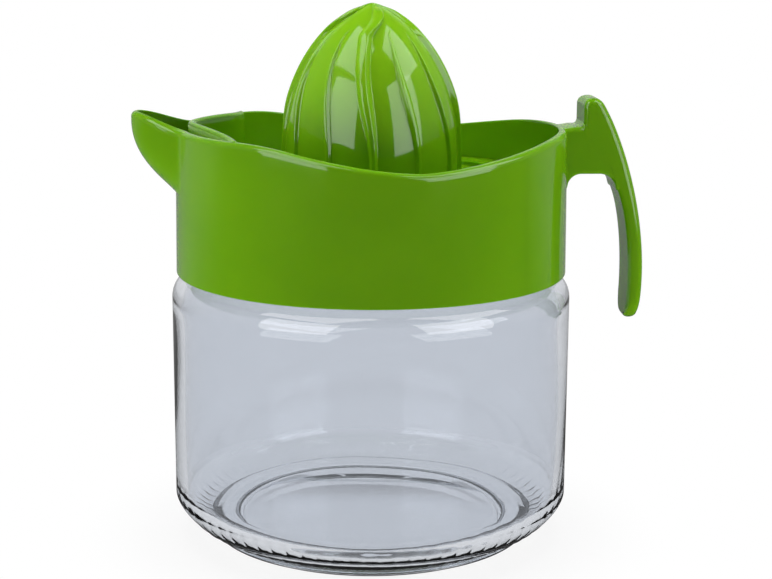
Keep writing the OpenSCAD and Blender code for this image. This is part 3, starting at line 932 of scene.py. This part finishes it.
@dataclass
class ReamerCone:
    """The ribbed dome that the fruit is pressed on, hollow, with three keys inside its foot."""

    radius: float = 25.0
    height: float = 48.2
    foot: float = 98.8
    foot_edge: float = 0.25
    fullness: float = 2.62
    taper: float = 1.5
    ribs: int = 12
    rib_foot: float = 0.9
    rib_h: float = 1.25
    fin_foot: float = 1.0
    fin_h: float = 1.9
    fin_fade_r: float = 5.5
    grow_from: float = 0.15
    grow_run: float = 0.35
    flat: float = 0.42
    edge: float = 0.28
    crown: float = 0.14
    steep: float = 1.6
    minor_end: float = 0.86
    minor_run: float = 0.34
    minor_power: float = 0.75
    body_share: float = 0.4
    start: float = -1.7
    sweep: float = 9.3
    sweep_from: float = 0.15
    sweep_run: float = 0.6
    curl: float = 26.0
    curl_from: float = 0.82
    curl_run: float = 0.15
    wall: float = 1.8
    valley: float = 1.9
    hollow_to: float = 0.62
    key_r: float = 20.6
    key_half: float = 1.2
    key_edge: float = 0.3
    per_rib: int = 52
    rib_crowding: float = 1.45
    rows: int = 150
    tip_crowding: float = 1.6

    def profile(self, t: Array) -> Array:
        """Radius over the ribs at a share t of the height: R (1 - t^fullness)^(1 / taper)."""
        return self.radius * np.maximum(1.0 - t**self.fullness, 0.0) ** (1 / self.taper)

    def turn(self, t: Array) -> Array:
        """Sideways lean of the ribs in radians: a slow sweep one way, then a quick curl at the tip."""
        sweep = self.sweep * smooth_step((t - self.sweep_from) / self.sweep_run)
        return np.radians(self.start - sweep + self.curl * smooth_step((t - self.curl_from) / self.curl_run))

    def surface(self, a: Array, t: Array) -> Array:
        """Radius of the ribbed surface.

        On a smooth body stand ribs with a slightly crowned top and steep straight flanks: beyond the
        top's half width the height falls off as m (sqrt(e^2 + c^2) - c) with the distance e from it.
        Every third rib grows wider and runs to the tip, and the others shrink to a point short of it.

        Args:
            a: Angle from a main rib, in radians.
            t: Share of the height.

        Returns:
            The radius at each angle and share.
        """
        pitch = 2 * math.pi / self.ribs
        n = np.round(a / pitch)
        r = self.profile(t)
        grow = smooth_step((t - self.grow_from) / self.grow_run)
        minor = self.rib_foot + (self.rib_h - self.rib_foot) * grow
        minor = minor * np.clip((self.minor_end - t) / self.minor_run, 0.0, 1.0) ** self.minor_power
        main = self.fin_foot + (self.fin_h - self.fin_foot) * grow
        main = main * np.minimum(1.0, r / self.fin_fade_r)
        body = r - np.minimum(self.rib_h, self.body_share * r)
        tall = np.where(n % 3 == 0, main, minor)
        size = np.clip(tall / self.rib_h, 0.15, 1.6)
        d = np.abs(a - n * pitch) * np.maximum(body + 0.5 * tall, 0.3)
        beyond = np.maximum(d - self.flat * size, 0.0)
        edge = self.edge * size
        fall = self.crown * d * d / size + self.steep * (np.sqrt(beyond * beyond + edge * edge) - edge)
        return body + np.maximum(tall - fall, 0.0)

    def around(self) -> Array:
        """Angles round the cone, closer together on the ribs: off a rib's middle they go as
        |u|^rib_crowding.

        Returns:
            The angles, in one row.
        """
        u = np.linspace(-1.0, 1.0, self.per_rib, endpoint=False)
        near = math.pi / self.ribs * np.sign(u) * np.abs(u) ** self.rib_crowding
        return (np.arange(self.ribs)[:, None] * 2 * math.pi / self.ribs + near).ravel()[None, :]

    def dome(self) -> Piece:
        """The outside as a grid of angle by height, denser towards the tip by 1 - (1 - s)^tip_crowding,
        then the foot's rounded edge, and the hollow inside up to its own top.

        Returns:
            The dome.
        """
        a = self.around()
        s = np.linspace(0, 1, self.rows, endpoint=False)[:, None]
        t = (1.0 - (1.0 - s) ** self.tip_crowding)[::-1]
        z = self.foot + self.height * t + self.foot_edge * (t == 0)
        rows = [revolve(self.surface(a, t), z, a - math.pi / 2 + self.turn(t))]
        level = a - math.pi / 2 + math.radians(self.start)
        r_out = self.surface(a, np.zeros((1, 1)))
        r_in = np.full_like(r_out, self.radius - self.valley + 0.2)
        for r, inset, lift in (
            (r_out, 0.08, 0.08), (r_out, self.foot_edge, 0.0),
            (r_in, self.wall - 0.3, 0.0), (r_in, self.wall + 0.2, 0.1), (r_in, self.wall + 0.35, 0.4),
        ):
            rows.append(revolve(r - inset, self.foot + lift, level))
        up = np.linspace(0.02, self.hollow_to, 14)[:, None]
        hollow = self.profile(up) - self.valley - self.wall
        rows.append(revolve(hollow, self.foot + (self.height - self.wall) * up, level))
        return capped_surface("reamer_dome", np.concatenate(rows))

    def keys(self) -> Piece:
        """Three small keys with rounded edges inside the foot.

        Returns:
            The keys, in one object.
        """
        z = (np.array([0.3, 0.5, 4.9, 5.3]) + self.foot)[:, None]
        half = np.array([1.3, 1.5, 1.5, 1.2])
        x, y = rounded_section(np.full_like(half, self.key_half), half, self.key_edge, self.key_edge, 5)
        x = x + self.key_r
        grids: list[Array] = []
        for turn in 2 * math.pi * np.arange(3) / 3:
            c, s = math.cos(turn), math.sin(turn)
            grids.append(stack_xyz(x * c - y * s, x * s + y * c, z))
        return capped_surface("reamer_keys", *grids)

    def build(self, plastic: Material) -> None:
        """Builds and dresses the dome and its keys."""
        place(self.dome(), Body.CONE, Slot.GREEN, plastic, "reamer_cone")
        place(self.keys(), Body.CONE, Slot.GREEN, plastic)


# ---- Glass jar -------------------------------------------------------------------


@dataclass
class GlassJar:
    """The jar: one closed wall of glass, revolved from its section, with the neck's thread, knurl
    marks round the bearing ring and the slow unevenness of pressed glass inside."""

    radius: float = 55.0
    body_h: float = 67.3
    shoulder: float = 6.5
    heel_w: float = 13.4
    heel_h: float = 10.0
    heel_full: float = 1.5
    wall: float = 2.8
    base: float = 4.5
    floor_round: float = 8.0
    neck: float = 47.4
    neck_wall: float = 3.0
    neck_fillet: float = 0.9
    throat_round: float = 1.6
    lip: float = 89.0
    ring_r: float = 41.8
    ring_w: float = 3.6
    ring_h: float = 1.7
    ring_slope: float = 3.4
    punt: float = 2.4
    punt_sag: float = 0.9
    floor_sag: float = 0.8
    thread_h: float = 78.2
    thread_depth: float = 2.1
    thread_half: float = 1.3
    thread_flank: float = 0.7
    thread_fade: float = 0.42
    pitch: float = 6.0
    ring_round: float = 0.5
    ring_inner_round: float = 0.7
    knurls: int = 72
    knurl_depth: float = 0.38
    knurl_up: float = 3.2
    knurl_band: float = 1.7
    columns: int = 480

    @property
    def lip_r(self) -> float:
        """Radius of the lip's two edges, a little less than half of the neck's wall."""
        return self.neck_wall / 2.6

    def outside(self) -> Array:
        """The outside's section, from the lip down to the middle of the hollow base.

        Returns:
            Points (r, z).
        """
        angles = np.radians(np.linspace(90, 22, 22))
        power = 2.0 / self.heel_full
        heel = np.stack([
            self.radius - self.heel_w * (1 - np.sin(angles) ** power),
            self.ring_h + self.heel_h * (1 - np.cos(angles) ** power),
        ], axis=1)
        shoulder_h = self.body_h + self.shoulder
        fillet, edge, inner_edge = self.neck_fillet, self.ring_round, self.ring_inner_round
        ring_in = self.ring_r - self.ring_w
        hollow = np.linspace(ring_in - inner_edge, 0.4, 16)
        return np.concatenate([
            corner(self.neck - self.lip_r, self.lip - self.lip_r, self.lip_r, 90, 0, 8),
            straight((self.neck, self.lip - self.lip_r), (self.neck, shoulder_h + 1.4), 44)[1:],
            corner(self.neck + fillet, shoulder_h + fillet, fillet, 180, 270, 5)[1:],
            corner(self.radius - self.shoulder, self.body_h, self.shoulder, 90, 0, 18)[1:],
            straight((self.radius, self.body_h), (self.radius, self.ring_h + self.heel_h), 21)[1:-1],
            heel,
            corner(self.ring_r + self.ring_slope - edge, self.ring_h + 0.35, edge, 15, -60, 5),
            straight((self.ring_r + 2.9, 1.15), (self.ring_r + 0.5, 0.06), 6),
            [[self.ring_r - 0.2, 0.0], [ring_in + 0.9, 0.0]],
            corner(ring_in + inner_edge, inner_edge, inner_edge, 270, 215, 5)[1:],
            np.stack([hollow, self.punt - self.punt_sag * (hollow / hollow[0]) ** 2], axis=1),
        ])

    def inside(self) -> Array:
        """The inside's section, from the middle of the floor up to the lip.

        Returns:
            Points (r, z).
        """
        inner = self.radius - self.wall
        floor = self.punt + self.base
        floor_r = inner - self.floor_round
        turn = self.shoulder - 1.0
        mouth = self.neck - self.neck_wall
        shoulder_h = self.body_h + self.shoulder
        line = np.linspace(0.4, floor_r, 26)
        return np.concatenate([
            np.stack([line, floor - self.floor_sag * (1 - (line / floor_r) ** 2)], axis=1),
            corner(floor_r, floor + self.floor_round, self.floor_round, 270, 360, 18)[1:],
            straight((inner, floor + self.floor_round), (inner, self.body_h - 2.0), 23)[1:],
            corner(inner - turn, self.body_h - 2.0, turn, 0, 62, 9)[1:],
            corner(mouth + self.throat_round, shoulder_h + 0.3, self.throat_round, 245, 180, 6),
            straight((mouth, shoulder_h + 1.5), (mouth, self.lip - self.lip_r), 10),
            corner(mouth + self.lip_r, self.lip - self.lip_r, self.lip_r, 180, 90, 7)[1:],
        ])

    def wall_outside(self, a: Array) -> Array:
        """The outside turned round the axis, with the neck's thread, a smooth-sided bump along the
        helix, and narrow raised marks, cos(knurls a)^4 in a soft band, above the bearing ring.

        Args:
            a: Angles round the axis, in one row.

        Returns:
            Points, section by angle.
        """
        r, z = np.split(self.outside(), 2, axis=1)
        helix = self.thread_h + self.pitch * a / (2 * math.pi)
        fade = np.minimum(np.minimum(1.0, a / self.thread_fade), (2 * math.pi - a) / self.thread_fade)
        ridge = smooth_step((self.thread_half - np.abs(z - helix)) / self.thread_flank)
        thread = np.where(np.abs(r - self.neck) < 0.05, self.thread_depth * fade * ridge, 0.0)
        mark = np.maximum(np.cos(self.knurls * a), 0.0) ** 4
        band = np.exp(-(((z - self.ring_h - self.knurl_up) / self.knurl_band) ** 2)) * (r > self.ring_r)
        return revolve(r + thread + self.knurl_depth * band * mark, z, a)

    def wall_inside(self, a: Array) -> Array:
        """The inside turned round the axis. Its wall and floor move by up to tenths of a millimetre
        in sums of slow waves, sin(k a + phase), and two fine ones run in a low band near the floor.

        Args:
            a: Angles round the axis, in one row.

        Returns:
            Points, section by angle.
        """
        r, z = np.split(self.inside(), 2, axis=1)
        wave = 0.07 * np.sin(3 * a + 0.05 * z) + 0.04 * np.sin(7 * a + 1.3 - 0.11 * z)
        fine = 0.008 * np.sin(23 * a + 0.9 * z + 2.0 * np.sin(2 * a)) + 0.012 * np.sin(61 * a - 0.7 * z)
        lift = 0.10 * np.sin(2 * a + 0.6) + 0.05 * np.sin(5 * a) + 0.02 * np.sin(19 * a + 0.2 * r)
        body = smooth_step((r - 25.0) / 20.0) * smooth_step((84.0 - z) / 8.0)
        low = np.exp(-(((z - 12.0) / 9.0) ** 2)) * smooth_step((r - 20.0) / 20.0)
        near_floor = smooth_step((r - 24.0) / 16.0) * smooth_step((20.0 - z) / 10.0)
        return revolve(r + (wave * body + fine * low), z + lift * near_floor, a)

    def jar(self) -> Piece:
        """The closed wall: outside down to the base, inside up to the lip. The two middles of the
        base are closed by fans, and the lip joins the first and last rows.

        Returns:
            The jar.
        """
        a = np.linspace(0, 2 * math.pi, self.columns, endpoint=False)[None, :]
        outside, inside = self.wall_outside(a), self.wall_inside(a)
        grid = np.concatenate([outside, inside])
        rows, columns = grid.shape[:2]
        last = len(outside) - 1
        quads = np.delete(grid_faces(rows, columns, True).reshape(rows, columns, 4), last, axis=0)
        j = np.arange(columns)
        j2 = (j + 1) % columns
        base, top, n = last * columns, (last + 1) * columns, rows * columns
        low_fan = np.stack([np.full(columns, n), base + j, base + j2], axis=-1)
        top_fan = np.stack([np.full(columns, n + 1), top + j2, top + j], axis=-1)
        points = np.concatenate([grid.reshape(-1, 3), [outside[-1].mean(axis=0), inside[0].mean(axis=0)]])
        return make_mesh("jar_wall", points, [quads.reshape(-1, 4), low_fan, top_fan])

    def build(self, glass: Material) -> None:
        """Builds and dresses the jar."""
        place(self.jar(), Body.JAR, Slot.GLASS, glass, "glass_jar")


# ---- Studio ----------------------------------------------------------------------


class Seen(Enum):
    """Where a light acts: in shine and through glass, or on matt colour."""

    SHINE = "shine"
    COLOUR = "colour"


@dataclass
class Softbox:
    """A rectangular soft light that faces a point above the table."""

    name: str
    azimuth: float
    elevation: float
    distance: float
    width: float
    height: float
    radiance: float
    seen: Seen
    target: Triple = (0.0, 0.0, 0.10)

    def build(self) -> None:
        """Hangs the light. Its power is radiance times pi times its area.

        Azimuth is in degrees from -Y towards +X, and elevation is above the target, both in
        degrees; lengths are in metres.
        """
        light = bpy.data.lights.new(self.name, "AREA")
        light.shape = "RECTANGLE"
        light.size, light.size_y = self.width, self.height
        light.energy = self.radiance * math.pi * self.width * self.height
        lamp = bpy.data.objects.new(self.name, light)
        a, e = math.radians(self.azimuth), math.radians(self.elevation)
        away = Vector((math.sin(a) * math.cos(e), -math.cos(a) * math.cos(e), math.sin(e)))
        lamp.location = Vector(self.target) + away * self.distance
        lamp.rotation_euler = away.to_track_quat("Z", "Y").to_euler()
        lamp.visible_camera = False
        lamp.visible_diffuse = self.seen is Seen.COLOUR
        lamp.visible_glossy = self.seen is Seen.SHINE
        lamp.visible_transmission = self.seen is Seen.SHINE
        bpy.context.scene.collection.objects.link(lamp)


def ray_switch(tree: Tree, ray: str, off: Socket, on: Socket) -> Socket:
    """Mixes two shaders by the kind of ray, such as Is Glossy Ray.

    Args:
        tree: The node tree.
        ray: Name of the Light Path output.
        off: Shader for the other rays.
        on: Shader for this kind of ray.

    Returns:
        The mixed shader.
    """
    is_ray = add_node(tree, "LightPath", {}).outputs[ray]
    return add_node(tree, "MixShader", {"Fac": is_ray, 1: off, 2: on}).outputs["Shader"]


def ramp(tree: Tree, source: Socket, span: Span, values: Span) -> Socket:
    """A smooth rise from one value to another over a span of the source.

    Args:
        tree: The node tree.
        source: The value that drives the rise.
        span: Where the rise begins and ends.
        values: The values at its two ends.

    Returns:
        The risen value.
    """
    inputs = {
        "Value": source, "From Min": span[0], "From Max": span[1], "To Min": values[0], "To Max": values[1],
    }
    return add_node(tree, "MapRange", inputs, interpolation_type="SMOOTHSTEP").outputs["Result"]


def calculate(tree: Tree, operation: str, *values: Socket) -> Socket:
    """The result of a Math node, such as ABSOLUTE or MAXIMUM."""
    return add_node(tree, "Math", dict(enumerate(values)), operation=operation).outputs["Value"]


def white_light(tree: Tree, kind: str, strength: Socket | float) -> Socket:
    """White light of a strength, as a Background or an Emission."""
    return add_node(tree, kind, {"Color": (1.0, 1.0, 1.0, 1.0), "Strength": strength}).outputs[kind]


@dataclass
class Studio:
    """A pale table, a white surround and soft lights at both sides."""

    lights: tuple[Softbox, ...] = (
        Softbox("shine_left_low", -46.0, 17.9, 0.85, 0.64, 0.71, 3.3, Seen.SHINE),
        Softbox("shine_left_high", -57.0, 63.0, 0.85, 0.64, 0.54, 3.2, Seen.SHINE),
        Softbox("shine_right_low", 47.0, 17.4, 0.85, 0.64, 0.70, 3.3, Seen.SHINE),
        Softbox("shine_right_high", 77.0, 54.5, 0.85, 0.52, 0.54, 3.2, Seen.SHINE),
        Softbox("side_left", -84.0, 11.0, 0.95, 0.8, 0.7, 3.7, Seen.COLOUR),
        Softbox("side_right", 84.0, 11.0, 0.95, 0.8, 0.7, 3.4, Seen.COLOUR),
        Softbox("overhead", 180.0, 82.0, 0.95, 0.9, 0.85, 7.0, Seen.COLOUR),
    )
    fill: float = 0.04
    front: float = 0.05
    sides: float = 0.22
    behind: float = 0.5
    beneath: float = 0.28
    bounce: Span = (1.68, 2.0)
    paint: float = 0.5
    kept_shadow: float = 0.09
    table_half: float = 3.0
    table_z: float = -0.0002
    camera_at: Triple = (-0.02407, -0.45937, 0.16551)
    heading: float = 0.061383
    pitch: float = 0.20867
    roll: float = 0.00547
    lens: float = 78.64
    sensor: float = 36.0

    def world(self) -> None:
        """The surround: white to the camera and through glass, an even fill for matt colour, and in
        shine dark towards the front, dim at the sides and brighter behind."""
        world = bpy.data.worlds.new("surround")
        bpy.context.scene.world = world
        world.use_nodes = True
        tree = world.node_tree
        tree.nodes.clear()
        where = add_node(tree, "TexCoord", {}).outputs["Generated"]
        split = add_node(tree, "SeparateXYZ", {"Vector": where}).outputs
        behind = ramp(tree, split["Y"], (0.55, 0.95), (self.front, self.behind))
        sideways = calculate(tree, "ABSOLUTE", split["X"])
        beside = ramp(tree, sideways, (0.45, 0.8), (self.front, self.sides))
        even = white_light(tree, "Background", self.fill)
        shine = white_light(tree, "Background", calculate(tree, "MAXIMUM", behind, beside))
        clear = white_light(tree, "Background", ramp(tree, split["Y"], (-0.9, 0.3), (0.85, 1.0)))
        shader = ray_switch(tree, "Is Glossy Ray", even, shine)
        shader = ray_switch(tree, "Is Transmission Ray", shader, clear)
        shader = ray_switch(tree, "Is Camera Ray", shader, white_light(tree, "Background", 1.0))
        add_node(tree, "OutputWorld", {"Surface": shader})

    def table(self) -> None:
        """A large pale table. It is white to the camera and through glass, but near the object it
        keeps a soft shadow; it lights matt colour from below, more so from the sides; in shine it is
        dark in front and brighter behind."""
        mesh = bpy.data.meshes.new("table_top")
        half, z = self.table_half, self.table_z
        places = [(-half, -half, z), (half, -half, z), (half, half, z), (-half, half, z)]
        mesh.from_pydata(places, [], [(0, 1, 2, 3)])
        table = bpy.data.objects.new("table_top", mesh)
        bpy.context.scene.collection.objects.link(table)
        material, tree = new_material("white_table")
        where = add_node(tree, "TexCoord", {}).outputs["Object"]
        split = add_node(tree, "SeparateXYZ", {"Vector": where}).outputs
        away = add_node(tree, "VectorMath", {0: where}, operation="LENGTH").outputs["Value"]
        paint_colour = (self.paint, self.paint, self.paint, 1.0)
        paint = add_node(tree, "BsdfDiffuse", {"Color": paint_colour}).outputs["BSDF"]
        white = white_light(tree, "Emission", 1.0)
        clear = ramp(tree, away, (0.05, 0.085), (1.0 - self.kept_shadow, 1.0))
        seen = add_node(tree, "MixShader", {"Fac": clear, 1: paint, 2: white}).outputs["Shader"]
        beneath = ramp(tree, split["Y"], (-0.02, 0.35), (self.front, self.beneath))
        beside = ramp(tree, calculate(tree, "ABSOLUTE", split["X"]), (0.03, 0.30), self.bounce)
        shader = ray_switch(tree, "Is Diffuse Ray", paint, white_light(tree, "Emission", beside))
        shader = ray_switch(tree, "Is Glossy Ray", shader, white_light(tree, "Emission", beneath))
        shader = ray_switch(tree, "Is Transmission Ray", shader, seen)
        shader = ray_switch(tree, "Is Camera Ray", shader, seen)
        add_node(tree, "OutputMaterial", {"Surface": shader})
        dress(table, material)

    def camera(self) -> None:
        """The camera, from its place, heading, pitch and roll."""
        h, level = self.heading, math.cos(self.pitch)
        forward = Vector((math.sin(h) * level, math.cos(h) * level, -math.sin(self.pitch)))
        right = Vector((math.cos(h), -math.sin(h), 0.0))
        up = right.cross(forward)
        c, s = math.cos(self.roll), math.sin(self.roll)
        right, up = right * c + up * s, up * c - right * s
        data = bpy.data.cameras.new("photo_camera")
        data.sensor_fit = "HORIZONTAL"
        data.sensor_width = self.sensor
        data.lens = self.lens
        data.clip_start = 0.01
        data.clip_end = 50.0
        camera = bpy.data.objects.new("photo_camera", data)
        turn = Matrix((right, up, -forward)).transposed()
        camera.matrix_world = Matrix.Translation(Vector(self.camera_at)) @ turn.to_4x4()
        bpy.context.scene.collection.objects.link(camera)
        bpy.context.scene.camera = camera

    def build(self) -> None:
        """Sets the camera, the surround, the table and the lights."""
        self.camera()
        self.world()
        self.table()
        for light in self.lights:
            light.build()
        bpy.context.scene.view_settings.view_transform = "Standard"


def main() -> None:
    """Builds the press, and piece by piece."""
    logging.basicConfig(level=logging.INFO, format="%(message)s")
    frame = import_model()
    Studio().build()
    plastic = GlossyPlastic().material()
    # Painted light: a lighter copy of the green plastic for the reamer cone.
    painted_light_plastic = PAINTED_LIGHT_PLASTIC.material()
    PressTop().build(plastic)
    ReamerCone().build(painted_light_plastic)
    GlassJar().build(PressedGlass().material())
    dress_cad_node(frame["nodes"]["strainer_insert"], plastic)
    dress_cad_node(frame["nodes"]["sealing_ring"], Silicone().material())
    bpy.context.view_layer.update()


if __name__ == "__main__":
    main()
